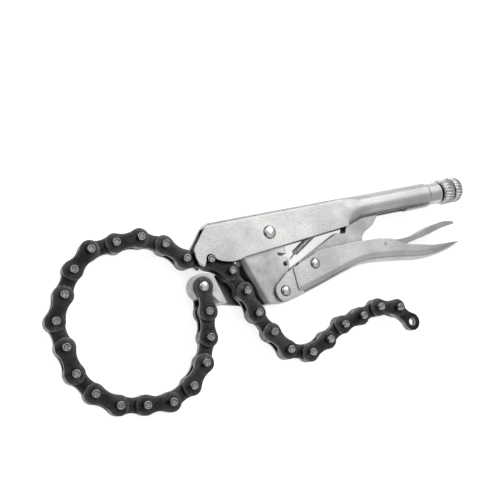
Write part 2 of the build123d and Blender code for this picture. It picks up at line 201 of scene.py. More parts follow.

# %% [markdown]
# ## Words that join two patterns
# Worn spots, plate and the shade painted into crevices lie over each other, so their patterns have to be
# joined. This could be done with one big formula for each finish. Three plain steps do for all of them: mix
# two colours, calculate with two values, and compare two directions.


# %% Words for joining
def mix(tree, factor, first, second, colours=True, blend="MIX"):
    """Mixes two colours, or two plain values, by a factor."""
    node = tree.nodes.new("ShaderNodeMix")
    # The Mix node keeps a set of sockets for each kind of data, told apart by their numbers
    first_in, second_in, out = (6, 7, 2) if colours else (2, 3, 0)
    if colours:
        node.data_type = "RGBA"
        node.blend_type = blend
    feed(tree, node.inputs[0], factor)
    feed(tree, node.inputs[first_in], first)
    feed(tree, node.inputs[second_in], second)
    return node.outputs[out]


def calculate(tree, operation, *values):
    """One step of arithmetic."""
    node = tree.nodes.new("ShaderNodeMath")
    node.operation = operation
    for socket, value in zip(node.inputs, values):
        feed(tree, socket, value)
    return node.outputs[0]


def likeness(tree, first, second):
    """How alike two directions are: 1 where they are the same, and less as they part."""
    node = tree.nodes.new("ShaderNodeVectorMath")
    node.operation = "DOT_PRODUCT"
    feed(tree, node.inputs[0], first)
    feed(tree, node.inputs[1], second)
    return node.outputs["Value"]


print("words for joining: mix, calculate, likeness")

# %% [markdown]
# ## Surface marks
# Plated and oxidised steel is never one even grey: the plate is cloudy, and handling leaves fine marks. An
# image could hold them, but noise needs no unwrapping and stays sharp from close by. All metals share
# these marks, so they are built once, as a node group with its scales as inputs. One noise is stretched
# nearly along X, as rubbing marks are, and it is mixed with a plain grain for the height.

# %% Marks group
RUB_ANGLE, RUB_STRETCH = radians(14), 0.22
GRAIN_SHARE = 0.7


def marks_group():
    """Node group that puts out mottling and a height, each from 0 to 1."""
    group = bpy.data.node_groups.new("metal_marks", "ShaderNodeTree")
    for scale in ("Cloud scale", "Grain scale"):
        group.interface.new_socket(scale, in_out="INPUT", socket_type="NodeSocketFloat")
    for mark in ("Cloud", "Height"):
        group.interface.new_socket(mark, in_out="OUTPUT", socket_type="NodeSocketFloat")
    scales = group.nodes.new("NodeGroupInput").outputs
    marks = group.nodes.new("NodeGroupOutput").inputs
    place = group.nodes.new("ShaderNodeTexCoord").outputs["Object"]
    stretch = group.nodes.new("ShaderNodeMapping")
    stretch.inputs["Rotation"].default_value = (0, 0, RUB_ANGLE)
    stretch.inputs["Scale"].default_value = (RUB_STRETCH, 1.0, 1.0)
    feed(group, stretch.inputs["Vector"], place)
    cloud = noise(group, place, scales["Cloud scale"], detail=5.0, roughness=0.62)
    scratch = noise(group, stretch.outputs["Vector"], scales["Grain scale"], detail=3.0)
    grain = noise(group, place, scales["Grain scale"], detail=2.0)
    feed(group, marks["Cloud"], cloud)
    feed(group, marks["Height"], mix(group, GRAIN_SHARE, scratch, grain, colours=False))
    return group


MARKS = marks_group()
print("marks:", [item.name for item in MARKS.interface.items_tree])

# %% [markdown]
# ## Edge wear
# A plated or blackened edge rubs through first, and the light line that this leaves is how an eye tells a
# used steel tool from plastic. It could be painted by hand. Here the Bevel node is used: it gives the
# normal that a rounded edge would have, and where that parts from the face's true normal, there is an edge.
# Noise breaks the line up, because real wear is uneven.

# %% Wear group
# Likeness of the two normals where wear starts and where it is full
WEAR_STARTS, WEAR_FULL = 0.997, 0.93
# Scale of the worn patches, the part of the noise that they use, and the least wear between them
PATCH_SCALE, PATCH_RANGE, LEAST_WEAR = 400.0, (0.35, 0.6), 0.35


def wear_group():
    """Node group that puts out 1 along rounded edges, broken up by noise, and 0 on flat faces."""
    group = bpy.data.node_groups.new("edge_wear", "ShaderNodeTree")
    group.interface.new_socket("Radius", in_out="INPUT", socket_type="NodeSocketFloat")
    group.interface.new_socket("Wear", in_out="OUTPUT", socket_type="NodeSocketFloat")
    radius = group.nodes.new("NodeGroupInput").outputs["Radius"]
    wear = group.nodes.new("NodeGroupOutput").inputs["Wear"]
    rounded = group.nodes.new("ShaderNodeBevel")
    rounded.samples = 8
    feed(group, rounded.inputs["Radius"], radius)
    surface = group.nodes.new("ShaderNodeNewGeometry")
    place = group.nodes.new("ShaderNodeTexCoord").outputs["Object"]
    alike = likeness(group, rounded.outputs["Normal"], surface.outputs["True Normal"])
    worn = remap(group, alike, (WEAR_STARTS, WEAR_FULL), soft=True)
    patches = noise(group, place, PATCH_SCALE, detail=3.0)
    uneven = remap(group, patches, PATCH_RANGE, (LEAST_WEAR, 1.0))
    feed(group, wear, calculate(group, "MULTIPLY", worn, uneven))
    return group


EDGE_WEAR = wear_group()
print("wear:", [item.name for item in EDGE_WEAR.interface.items_tree])

# %% [markdown]
# ## Colour of a finish
# Nickel plate and black oxide change in tone from cloud to cloud, and they are worn off at the edges.
# Shade is painted into the crevices as well. All this could be painted on an image for each piece. Here
# nodes lay it in order: the mottled tone first, then bare steel where the edge wear is, and the painted
# crevice shade last. Ambient occlusion finds the crevices, because it measures how much of the room a spot sees.

# %% Colour
MOST_CLOUDS = (0.35, 0.65)
# Ambient occlusion over which crevices are painted darker, and the share of colour left in the darkest painted
# shade
CREVICE_SHADE_AO, DARKEST_SHADE = (0.15, 0.8), 0.22


def finish_colour(tree, cloud, light, dark, bare, edge, shade_reach):
    """Mottled colour, with bare steel on worn edges if bare is given, and with shade painted into the crevices."""
    colour = mix(tree, remap(tree, cloud, MOST_CLOUDS), (*dark, 1), (*light, 1))
    if bare:
        wear = tree.nodes.new("ShaderNodeGroup")
        wear.node_tree = EDGE_WEAR
        wear.inputs["Radius"].default_value = edge
        colour = mix(tree, wear.outputs["Wear"], colour, (*bare, 1))
    # Painted shade: the colour is darkened where ambient occlusion finds a crevice
    crevice = tree.nodes.new("ShaderNodeAmbientOcclusion")
    crevice.samples = 8
    crevice.inputs["Distance"].default_value = shade_reach
    unshaded = remap(tree, crevice.outputs["AO"], CREVICE_SHADE_AO, (DARKEST_SHADE, 1.0))
    return mix(tree, 1.0, colour, unshaded, blend="MULTIPLY")


print("the deepest crevice keeps", DARKEST_SHADE, "of its colour")

# %% [markdown]
# ## Grain and rounded edges
# No steel is quite flat, and no edge of a tool is quite sharp. The grain is far too fine to model, so a
# Bump node tilts the light on it. Edges could be bevelled in the mesh, and those of plates and pins are,
# but a CAD mesh of loose triangles doesn't take a bevel well. The Bevel node rounds only the light.

# %% Grain
GRAIN_SCALE, GRAIN_HEIGHT = 1400.0, 0.2 * MM


def grain_normal(tree, grain, strength, edge):
    """Normal of a grainy surface, whose edges seem rounded by a radius unless that is 0."""
    height = tree.nodes.new("ShaderNodeBump")
    height.inputs["Strength"].default_value = strength
    height.inputs["Distance"].default_value = GRAIN_HEIGHT
    feed(tree, height.inputs["Height"], grain)
    if edge:
        rounding = tree.nodes.new("ShaderNodeBevel")
        rounding.samples = 6
        rounding.inputs["Radius"].default_value = edge
        feed(tree, height.inputs["Normal"], rounding.outputs["Normal"])
    return height.outputs["Normal"]


print("grain height in mm:", round(GRAIN_HEIGHT / MM, 2))

# %% [markdown]
# ## What makes a metal
# All of the tool is steel under some finish. Each finish could be a network of its own, but then they
# would drift apart. One function makes them all, so that they stay a family, and the values that it is
# called with set them apart. Its gloss follows the grain, because a surface of one even gloss looks
# like a toy.

# %% Metal
MOST_GRAIN = (0.3, 0.7)


def metal(
    name, light, dark, smooth, rough, bump, cloud_scale=45.0, metallic=1.0, edge=0.0, shade_reach=10.0 * MM,
    bare=None,
):
    """A metal whose colour and roughness follow the marks and whose normal has a fine grain.

    Its tone goes from dark to light and its roughness from smooth to rough. bump is the strength of its
    grain, edge the radius that its sharp edges seem to have, and shade_reach how wide a crevice still gets
    painted shade. bare is the colour under the finish, which shows where an edge is worn.
    """
    material = bpy.data.materials.new(name)
    material.use_nodes = True
    tree = material.node_tree
    marks = tree.nodes.new("ShaderNodeGroup")
    marks.node_tree = MARKS
    marks.inputs["Cloud scale"].default_value = cloud_scale
    marks.inputs["Grain scale"].default_value = GRAIN_SCALE
    cloud, grain = marks.outputs["Cloud"], marks.outputs["Height"]
    shader = tree.nodes["Principled BSDF"]
    shader.inputs["Metallic"].default_value = metallic
    colour = finish_colour(tree, cloud, light, dark, bare, edge, shade_reach)
    feed(tree, shader.inputs["Base Color"], colour)
    feed(tree, shader.inputs["Roughness"], remap(tree, grain, MOST_GRAIN, (smooth, rough)))
    feed(tree, shader.inputs["Normal"], grain_normal(tree, grain, bump, edge))
    return material


print("metals share the groups", MARKS.name, "and", EDGE_WEAR.name)

# %% [markdown]
# ## Nickel finishes
# The handles are pressed from sheet steel, and the jaw and the toggle link are forged. All are nickel
# plated, and the plate follows the steel under it: smooth on sheet, grainy on a forging. The thin release
# lever is darker than the handles. The knob is plated after its teeth are rolled and shines most. They
# could share one material, but these four differ to the eye in tone and gloss.

# %% Nickel
NICKEL = metal(
    "satin_nickel", light=(0.62, 0.615, 0.605), dark=(0.46, 0.455, 0.45), bare=(0.78, 0.77, 0.76),
    smooth=0.22, rough=0.38, bump=0.5, edge=0.7 * MM,
)
FORGED = metal(
    "nickel_on_forging", light=(0.70, 0.695, 0.69), dark=(0.40, 0.395, 0.39), bare=(0.74, 0.73, 0.72),
    smooth=0.28, rough=0.5, bump=0.9, edge=0.8 * MM,
)
RELEASE_SHEET = metal(
    "release_sheet_nickel", light=(0.46, 0.455, 0.45), dark=(0.34, 0.335, 0.33), bare=(0.80, 0.79, 0.78),
    smooth=0.24, rough=0.38, bump=0.35, edge=0.7 * MM,
)
KNOB_NICKEL = metal(
    "knob_nickel", light=(0.72, 0.71, 0.70), dark=(0.46, 0.45, 0.44), bare=(0.92, 0.91, 0.90),
    smooth=0.10, rough=0.22, bump=0.2, cloud_scale=120.0, edge=0.3 * MM, shade_reach=3.2 * MM,
)
print("nickel:", NICKEL.name, FORGED.name, RELEASE_SHEET.name, KNOB_NICKEL.name)

# %% [markdown]
# ## Finishes of the chain
# A chain's plates are stamped from strip and blackened in hot oxide, which rubs through on their sheared
# sides. The pins stay nearly bare, with oily patches. A plate could have one black, with edge wear alone
# for its light sides. Two materials on one plate show them more plainly: the flat faces are black, and the
# sides are a worn grey that is also painted lighter, as a lit side would look.

# %% Chain steel
OXIDE = metal(
    "black_oxide", light=(0.050, 0.050, 0.053), dark=(0.016, 0.016, 0.018), bare=(0.55, 0.55, 0.55),
    smooth=0.24, rough=0.40, bump=0.6, cloud_scale=160.0, metallic=0.85, edge=0.5 * MM, shade_reach=6.0 * MM,
)
# The plates' sides: worn grey, painted lighter as lit sides
OXIDE_SIDE_WORN_AND_LIT = metal(
    "black_oxide_side_worn_and_painted_lit", light=(0.36, 0.36, 0.36), dark=(0.12, 0.12, 0.12),
    smooth=0.28, rough=0.45, bump=0.6, cloud_scale=260.0, metallic=0.9, shade_reach=3.0 * MM,
)
PIN_STEEL = metal(
    "pin_steel", light=(0.42, 0.42, 0.42), dark=(0.18, 0.18, 0.18), bare=(0.92, 0.92, 0.92),
    smooth=0.18, rough=0.32, bump=0.3, cloud_scale=350.0, edge=0.4 * MM, shade_reach=4.0 * MM,
)
print("chain:", OXIDE.name, OXIDE_SIDE_WORN_AND_LIT.name, PIN_STEEL.name)

# %% [markdown]
# ## Finishes of the small steel
# Rivet heads are smooth from the riveting tool and mirror the room, and a thin dark ring of painted
# shadow lies round each of them. The spring is drawn wire and the screw is rolled, which leaves one bright
# and the other dull. The painted shadow could be a dark colour on the metal, but it should show no metal
# gloss, so its Metallic is 0.

# %% Small steel
RIVET_STEEL = metal(
    "rivet_steel", light=(0.70, 0.695, 0.69), dark=(0.58, 0.575, 0.57),
    smooth=0.03, rough=0.09, bump=0.05, cloud_scale=300.0, shade_reach=3.0 * MM,
)
# A dark ring painted round each rivet head as its contact shadow, with no metal in it
RIVET_SHADOW_RING = metal(
    "painted_rivet_shadow", light=(0.045, 0.042, 0.04), dark=(0.02, 0.019, 0.018),
    smooth=0.45, rough=0.7, bump=0.3, metallic=0.0, shade_reach=1.0 * MM,
)
SPRING_WIRE = metal(
    "spring_wire", light=(0.84, 0.84, 0.84), dark=(0.62, 0.62, 0.62),
    smooth=0.16, rough=0.28, bump=0.2, cloud_scale=300.0, shade_reach=0.6 * MM,
)
SCREW_STEEL = metal(
    "screw_steel", light=(0.52, 0.52, 0.51), dark=(0.34, 0.34, 0.33),
    smooth=0.25, rough=0.4, bump=0.3, cloud_scale=200.0,
)
print(len(bpy.data.materials), "materials so far")

# %% [markdown]
# ## Outline of a chain plate
# A leaf chain is stacked from stamped plates, round at both ends with a hollowed waist. The outline could
# be drawn as a curve by hand. It is really four arcs that run into each other: one round each pin, and one
# hollow arc on each side that touches both of them. So each arc is spun from one vertex, and only its
# centre, its first point and its angle have to be worked out.

# %% Plate outline
PITCH = 15.875 * MM
PLATE_END_R, PLATE_WAIST = 6.2 * MM, 4.5 * MM
END_STEPS, WAIST_STEPS = 22, 8
# The radius at which a waist arc touches both end arcs
WAIST_R = (PLATE_END_R**2 - (PITCH / 2) ** 2 - PLATE_WAIST**2) / (2 * (PLATE_WAIST - PLATE_END_R))
WAIST_Y = PLATE_WAIST + WAIST_R
touch = Vector((PITCH / 2, WAIST_Y)).normalized() * PLATE_END_R
END_ANGLE = tau - 2 * atan2(touch.y, touch.x)
WAIST_ANGLE = 2 * atan2(PITCH / 2 - touch.x, WAIST_Y - touch.y)


def arc(bm, centre, start, angle, steps):
    """A row of edges round a centre in the XY plane, spun from one vertex."""
    first = bm.verts.new((start[0], start[1], 0))
    bmesh.ops.spin(
        bm, geom=[first], cent=(centre[0], centre[1], 0), axis=(0, 0, 1), dvec=(0, 0, 0),
        angle=angle, steps=steps, use_duplicate=False,
    )


def plate_outline(bm):
    """Adds the closed outline of a plate, with its pins at 0 and at the pitch along X."""
    opposite = (PITCH - touch.x, -touch.y)
    arc(bm, (0, 0), touch, END_ANGLE, END_STEPS)
    arc(bm, (PITCH, 0), opposite, END_ANGLE, END_STEPS)
    arc(bm, (PITCH / 2, WAIST_Y), touch, WAIST_ANGLE, WAIST_STEPS)
    arc(bm, (PITCH / 2, -WAIST_Y), opposite, WAIST_ANGLE, WAIST_STEPS)
    bmesh.ops.remove_doubles(bm, verts=bm.verts, dist=1e-6)


print("waist arc radius in mm:", round(WAIST_R / MM, 2))

# %% [markdown]
# ## Chain plates
# The press shears a plate out of strip and rolls its edges over a little. A box with a Bevel modifier
# would do for a plate without holes. Here the outline is filled, extruded to the plate's thickness and
# bevelled by operators, because the light lines on those rounded edges are what the eye reads as a
# chain. Pins fill the holes of all plates but the last two, so only these are filled round a circle.

# %% Plates
PLATE_T, EDGE_ROUND = 2.0 * MM, 0.42 * MM
SHARP = radians(60)
EYE_R, EYE_SIDES = 2.6 * MM, 32


def plate(bm, low, high, eye=0.0):
    """Adds one chain plate between two heights, with an open eye of this radius at its far end."""
    part = bmesh.new()
    plate_outline(part)
    if eye:
        far_end = Matrix.Translation((PITCH, 0, 0))
        bmesh.ops.create_circle(part, segments=EYE_SIDES, radius=eye, matrix=far_end)
        bmesh.ops.triangle_fill(part, edges=part.edges[:], use_beauty=True, normal=(0, 0, 1))
    else:
        bmesh.ops.contextual_create(part, geom=part.edges[:])
    bmesh.ops.translate(part, verts=part.verts, vec=(0, 0, low))
    raised = bmesh.ops.extrude_face_region(part, geom=part.faces[:])
    raised_verts = [v for v in raised["geom"] if isinstance(v, bmesh.types.BMVert)]
    bmesh.ops.translate(part, verts=raised_verts, vec=(0, 0, high - low))
    bmesh.ops.recalc_face_normals(part, faces=part.faces)
    rims = [e for e in part.edges if e.is_manifold and e.calc_face_angle() > SHARP]
    bmesh.ops.bevel(
        part, geom=rims, offset=EDGE_ROUND, segments=2, affect="EDGES", profile=0.5, material=-1,
        clamp_overlap=True,
    )
    made = bpy.data.meshes.new("plate_part")
    part.to_mesh(made)
    part.free()
    bm.from_mesh(made)
    bpy.data.meshes.remove(made)


print("plate in mm:", round((PITCH + 2 * PLATE_END_R) / MM, 2), "long,", round(PLATE_T / MM, 2), "thick")

# %% [markdown]
# ## Chain pins
# The pins of this chain are longer than usual, because they hang in the handle's notch. Each is a turned
# rod with a bevelled rim, and a small dimple in both ends from the riveting punch. A plain cylinder would
# do from far away, but the tool is seen from close by and every ring of light on a pin counts.

# %% Pins
PIN_R, PIN_HALF = 2.4 * MM, 8.6 * MM
PIN_SIDES, PIN_BEVEL = 28, 0.45 * MM
DIMPLE_RIM, DIMPLE_DEPTH = 0.8 * MM, 0.7 * MM


def chain_pin(bm, x):
    """Adds one long pin at a place along X."""
    made = bmesh.ops.create_cone(
        bm, cap_ends=True, segments=PIN_SIDES, radius1=PIN_R, radius2=PIN_R, depth=2 * PIN_HALF,
        matrix=Matrix.Translation((x, 0, 0)),
    )
    faces = {f for v in made["verts"] for f in v.link_faces}
    caps = [f for f in faces if abs(f.normal.z) > 0.9]
    rims = list({e for f in caps for e in f.edges})
    bmesh.ops.bevel(bm, geom=rims, offset=PIN_BEVEL, segments=2, affect="EDGES", profile=0.5, material=-1)
    # The caps are new faces after the bevel, so they are looked for again, round this pin only
    caps = [f for f in bm.faces if abs(f.normal.z) > 0.99 and abs(f.calc_center_median().x - x) < 1e-5]
    bmesh.ops.inset_individual(bm, faces=caps, thickness=DIMPLE_RIM, depth=-DIMPLE_DEPTH)


print("pin in mm:", round(2 * PIN_HALF / MM, 1), "long,", round(2 * PIN_R / MM, 1), "across")

# %% [markdown]
# ## The whole chain
# Odd links are two plates face to face. Even links are two plates apart, and carry two pins that reach
# through their neighbours. The first link sits outside the next one, on the jaw's nose. An Array modifier
# along a curve could repeat one link, but then the links would be one piece and couldn't turn. So each
# link is drawn along X and laid between its own two pins, and rides on its own body.

# %% Links
INNER_LOW, OUTER_LOW, ANCHOR_LOW = 0, 2.1 * MM, 4.2 * MM


def along_link(k):
    """Turns and moves a piece drawn along X into place between pins k - 1 and k."""
    run = pins[k] - pins[k - 1]
    return Matrix.Translation(pins[k - 1]) @ Matrix.Rotation(atan2(run.y, run.x), 4, "Z")


def link_plates(k, low):
    """The two plates of a link, which start at this height above and below the middle of the chain."""
    bm = bmesh.new()
    for bottom, top in ((low, low + PLATE_T), (-low - PLATE_T, -low)):
        plate(bm, bottom, top, eye=EYE_R if k == LAST_LINK else 0.0)
    bmesh.ops.transform(bm, matrix=along_link(k), verts=bm.verts)
    for face in bm.faces:
        face.normal_update()
        # Upright faces are the plates' sides, which get the worn grey that is painted lighter as if lit
        upright = abs(face.normal.z) < 0.5
        face.material_index = int(upright)
    return bm


def link_pins(k):
    """The two pins of a link."""
    bm = bmesh.new()
    for x in (0, PITCH):
        chain_pin(bm, x)
    bmesh.ops.transform(bm, matrix=along_link(k), verts=bm.verts)
    return bm


for k in range(1, LAST_LINK + 1):
    if k == 1:
        node, low = "anchor_link_01", ANCHOR_LOW
    elif k == LAST_LINK:
        node, low = f"eye_link_{k:02d}", INNER_LOW
    elif k % 2 == 0:
        node, low = f"outer_link_{k:02d}", OUTER_LOW
    else:
        node, low = f"inner_link_{k:02d}", INNER_LOW
    link = f"link_{k:02d}"
    finish_piece(link_plates(k, low), f"{link}_plates", link, OXIDE, [node], second=OXIDE_SIDE_WORN_AND_LIT)
    if k % 2 == 0:
        finish_piece(link_pins(k), f"{link}_pins", link, PIN_STEEL)

# %% [markdown]
# ## A lathe
# Rivets, the knob and the screw's core are round, as if turned on a lathe. They could be put together from
# cylinders and cones, but one section spun round an axis gives the whole shape at once. Where a section
# meets the axis, its doubles are merged, so that the pole is closed.


# %% Lathe
def lathe(bm, profile, axis_point, axis, steps):
    """Spins a profile of points, given as (along, radius), fully round an axis."""
    axis = Vector(axis)
    side = axis.orthogonal().normalized()
    row = [bm.verts.new(Vector(axis_point) + axis * along + side * radius) for along, radius in profile]
    edges = [bm.edges.new(pair) for pair in zip(row, row[1:])]
    bmesh.ops.spin(
        bm, geom=row + edges, cent=axis_point, axis=axis, angle=tau, steps=steps, use_merge=True,
        use_duplicate=False,
    )
    bmesh.ops.remove_doubles(bm, verts=bm.verts, dist=1e-7)


trial = bmesh.new()
lathe(trial, [(0.0, 0.0), (0.0, 1.0), (1.0, 1.0), (1.0, 0.0)], (0, 0, 0), (0, 0, 1), 12)
print("a trial cylinder of 12 steps has", len(trial.verts), "vertices")
trial.free()

# %% [markdown]
# ## Rivets
# Four rivets hold the mechanism. A rivet head is a low dome with a crisp rim that stands a hair off the
# sheet, and a dark ring of painted shadow lies in the corner under it. The ring could be painted on an
# image of the sheet. A flat ring in the rivet's own section, with a second material, needs no image and
# stays with the rivet when it moves.

# %% Rivet heads
# Body that each rivet rides on, then its shank's radius, its head's radius and half its grip, in mm
RIVETS = {
    "main_rivet": ("handle", 3.0, 4.1, 7.3),
    "jaw_lever_rivet": ("lever", 2.4, 3.2, 7.2),
    "link_rivet": ("lever", 2.4, 3.2, 8.0),
    "anchor_rivet": ("jaw", 2.4, 3.2, 6.2),
}
HEAD_H, HEAD_RIM = 1.5, 0.5
DOME_ANGLES = (10, 20, 31, 42, 53, 64, 75)
# Width and height of the flat ring under the head that carries the painted shadow, in mm
SHADOW_RING_W, SHADOW_RING_H = 0.45, 0.05
GAP_IN, GAP_LOW, GAP_HIGH = 0.3, 0.08, 0.2
# Faces with their centre further out than the head less this, and no higher than this, get the painted shadow
SHADOW_RING_IN, SHADOW_RING_TOP = 0.25, 0.1
RIVET_SIDES = 40


def rivet_end(shank, head, half):
    """Section of one end of a rivet, from the shank out under the head and over the dome, in mm."""
    # The flat ring under the head, which carries the painted shadow
    shadow_ring = [(half, shank), (half, head + SHADOW_RING_W), (half + SHADOW_RING_H, head + SHADOW_RING_W)]
    gap = [(half + GAP_LOW, head - GAP_IN), (half + GAP_HIGH, head - GAP_IN)]
    rim = [(half + HEAD_RIM, head)]
    dome = [
        (half + HEAD_RIM + (HEAD_H - HEAD_RIM) * sin(a), head * cos(a))
        for a in (radians(d) for d in DOME_ANGLES)
    ]
    return shadow_ring + gap + rim + dome + [(half + HEAD_H, 0.0)]


for node, (body, shank, head, half) in RIVETS.items():
    side = rivet_end(shank, head, half)
    profile = [(-a * MM, r * MM) for a, r in reversed(side)] + [(a * MM, r * MM) for a, r in side]
    centre = Vector((*middle(node).xy, MID_Z))
    bm = bmesh.new()
    lathe(bm, profile, centre, (0, 0, 1), RIVET_SIDES)
    for face in bm.faces:
        spot = face.calc_center_median() - centre
        beside_head = hypot(spot.x, spot.y) > (head - SHADOW_RING_IN) * MM
        on_sheet = abs(spot.z) < (half + SHADOW_RING_TOP) * MM
        # Faces of that ring get the second material, a painted contact shadow
        face.material_index = int(beside_head and on_sheet)
    finish_piece(
        bm, f"{node}_visual", body, RIVET_STEEL, [node], smooth_below=35, second=RIVET_SHADOW_RING
    )
print(len(RIVETS), "rivets")

# %% [markdown]
# ## Adjusting knob
# The knob is turned with a groove between two rings and a rounded end, and then teeth are rolled into both
# rings. Cutting 26 teeth out with booleans would leave a rough mesh. Instead the section is spun with
# eight steps to a tooth, and the vertices far enough from the axis are pulled in between the teeth. The
# section starts at the hole for the screw, which fills it.

# %% Knob
knob_low, knob_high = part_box("adjusting_knob")
screw_axis = Vector((0, (knob_low.y + knob_high.y) / 2, (knob_low.z + knob_high.z) / 2))
TEETH, PER_TOOTH = 26, 8
KNURL_FROM_R, KNURL_FADE, KNURL_DEPTH = 8.6 * MM, 0.6 * MM, 0.75 * MM
TOOTH_FULLNESS = 0.6
# Points of the section as (along the axis, radius), in mm: first ring, groove, second ring, rounded end
KNOB_SECTION = [
    (0.0, 4.8), (0.0, 8.2), (0.5, 8.9), (1.3, 9.5), (2.0, 9.65), (8.2, 9.65), (8.9, 9.4), (9.4, 8.7),
    (9.6, 7.6), (10.6, 7.6),
    (10.8, 8.7), (11.3, 9.4), (12.0, 9.65), (15.6, 9.65), (16.4, 9.3),
    (17.4, 8.5), (18.4, 7.1), (19.1, 5.2), (19.4, 3.0), (19.4, 0.0),
]
knob_profile = [(x * MM, r * MM) for x, r in KNOB_SECTION]
bm = bmesh.new()
lathe(bm, knob_profile, (knob_low.x, screw_axis.y, screw_axis.z), (1, 0, 0), TEETH * PER_TOOTH)
for v in bm.verts:
    y, z = v.co.y - screw_axis.y, v.co.z - screw_axis.z
    r = hypot(y, z)
    if r > KNURL_FROM_R:
        tooth = max(0.0, cos(atan2(z, y) * TEETH)) ** TOOTH_FULLNESS
        depth = KNURL_DEPTH * (1 - tooth) * min(1.0, (r - KNURL_FROM_R) / KNURL_FADE)
        v.co.y, v.co.z = screw_axis.y + y * (1 - depth / r), screw_axis.z + z * (1 - depth / r)
finish_piece(bm, "knob_visual", "knob", KNOB_NICKEL, ["adjusting_knob"], smooth_below=50)
print("knob:", TEETH, "teeth")

# %% [markdown]
# ## Adjusting screw
# The knob's screw runs down the tube of the handle and pushes on the toggle link, and most of it is
# hidden. Its thread could be a Screw modifier. Here spin does the same: it takes a short flat-topped
# line round the axis, and moves it along by one thread pitch for each turn. A plain core closes the middle.

# %% Screw
screw_low, screw_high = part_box("adjusting_screw")
screw_length = screw_high.x - screw_low.x
THREAD_PITCH, THREAD_R, CORE_R = 1.5875 * MM, 4.7 * MM, 3.9 * MM
STEPS_PER_TURN = 24
TIP, PLAIN_ENDS = 1.2 * MM, 4 * MM
TIP_R, TIP_CHAMFER, OVERLAP, CORE_SIDES = 3.4 * MM, 0.8 * MM, 0.02 * MM, 32
# One turn of thread, as parts of a pitch along the axis and radii
THREAD_LINE = ((0, CORE_R), (0.4, THREAD_R), (0.6, THREAD_R), (1, CORE_R))
turns = int((screw_length - PLAIN_ENDS) / THREAD_PITCH)
start = Vector((screw_low.x + TIP, screw_axis.y, screw_axis.z))
bm = bmesh.new()
row = [bm.verts.new(start + Vector((x * THREAD_PITCH, 0, r))) for x, r in THREAD_LINE]
edges = [bm.edges.new(pair) for pair in zip(row, row[1:])]
bmesh.ops.spin(
    bm, geom=row + edges, cent=start, axis=(1, 0, 0), dvec=(THREAD_PITCH / STEPS_PER_TURN, 0, 0),
    angle=tau * turns, steps=STEPS_PER_TURN * turns, use_merge=False, use_duplicate=False,
)
core = [
    (0, 0), (0, TIP_R), (TIP_CHAMFER, CORE_R + OVERLAP), (screw_length, CORE_R + OVERLAP), (screw_length, 0),
]
lathe(bm, core, (screw_low.x, screw_axis.y, screw_axis.z), (1, 0, 0), CORE_SIDES)
bmesh.ops.remove_doubles(bm, verts=bm.verts, dist=1e-6)
finish_piece(bm, "screw_visual", "screw", SCREW_STEEL, ["adjusting_screw"], smooth_below=30)
print("screw:", turns, "turns of thread")

# %% [markdown]
# ## Path of the spring's wire
# A tension spring runs from a hole in the jaw's rear edge to a tab inside the handle. It is one wire: a
# hook, the coil, and a short end. The coil alone could come from a Screw modifier, but its hooks would have
# to be joined on. So the wire's whole path is one row of points, each given by how far it is along the
# spring and how far it stands up or across from there.

# %% Spring path
COIL_R, COIL_PITCH, STEPS_PER_COIL = 1.76 * MM, 1.42 * MM, 16
ear = Vector((main_pivot.x + 6.6 * MM, main_pivot.y - 22.2 * MM, MID_Z))
tab = Vector((main_pivot.x + 57.0 * MM, main_pivot.y + 5.0 * MM, MID_Z))
along = (tab - ear).normalized()
across = Vector((-along.y, along.x, 0))
up = Vector((0, 0, 1))
COIL_FROM, COIL_TO = 12.5 * MM, (tab - ear).length - 9.0 * MM
coil_turns = int((COIL_TO - COIL_FROM) / COIL_PITCH)
# Both ends of the wire as (along, up) in mm, the hook from the jaw's ear and the end from the tab
HOOK = ((0, 3.0), (0, 5.0), (1.2, 5.6), (5.0, 5.0), (8.0, 3.2))
END = ((-5.0, 1.0), (-1.0, 0))

path = [ear + along * forward * MM + up * raised * MM for forward, raised in HOOK]
for i in range(coil_turns * STEPS_PER_COIL + 1):
    turn = i / STEPS_PER_COIL
    a = tau * turn
    path.append(ear + along * (COIL_FROM + turn * COIL_PITCH) + (up * cos(a) + across * sin(a)) * COIL_R)
path += [tab + along * forward * MM + up * raised * MM for forward, raised in END]
print("spring:", coil_turns, "coils,", len(path), "points")

# %% [markdown]
# ## Spring
# The wire is round and equally thick all along. A tube could be skinned round the points ring by ring, but a
# curve with a round bevel does that by itself, so the points become a curve first and then a mesh. The
# jaw's ear moves away from the handle when the tool opens, but the mesh rides on no body and stays as made.

# %% Spring
WIRE_R = 0.52 * MM
curve = bpy.data.curves.new("spring_wire_line", "CURVE")
curve.dimensions = "3D"
curve.bevel_depth = WIRE_R
curve.bevel_resolution = 2
curve.use_fill_caps = True
line = curve.splines.new("POLY")
line.points.add(len(path) - 1)
for point, co in zip(line.points, path):
    point.co = (*co, 1)
carrier = add_object("spring_carrier", curve)
mesh = bpy.data.meshes.new_from_object(carrier.evaluated_get(bpy.context.evaluated_depsgraph_get()))
bpy.data.objects.remove(carrier)
bm = bmesh.new()
bm.from_mesh(mesh)
bpy.data.meshes.remove(mesh)
spring = finish_piece(bm, "spring_coil", None, SPRING_WIRE, ["spring"])
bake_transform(spring)
print("spring:", len(spring.data.polygons), "faces")

# %% [markdown]
# ## Finishes of the pressed and forged pieces
# The handles, the release lever, the toggle link and the jaw are bent, drawn and forged, and the CAD model
# has their shapes in full. They could be modelled again, but they would only lose by it. So they keep
# their CAD meshes and get a finish.

# %% Paint the CAD nodes
FINISH = {
    "upper_handle": NICKEL, "lower_lever": NICKEL, "release_lever": RELEASE_SHEET, "toggle_link": FORGED,
    "jaw": FORGED,
}
for node, material in FINISH.items():
    mesh = frame["nodes"][node].data
    mesh.materials.clear()
    mesh.materials.append(material)
print(len(FINISH), "CAD nodes painted")

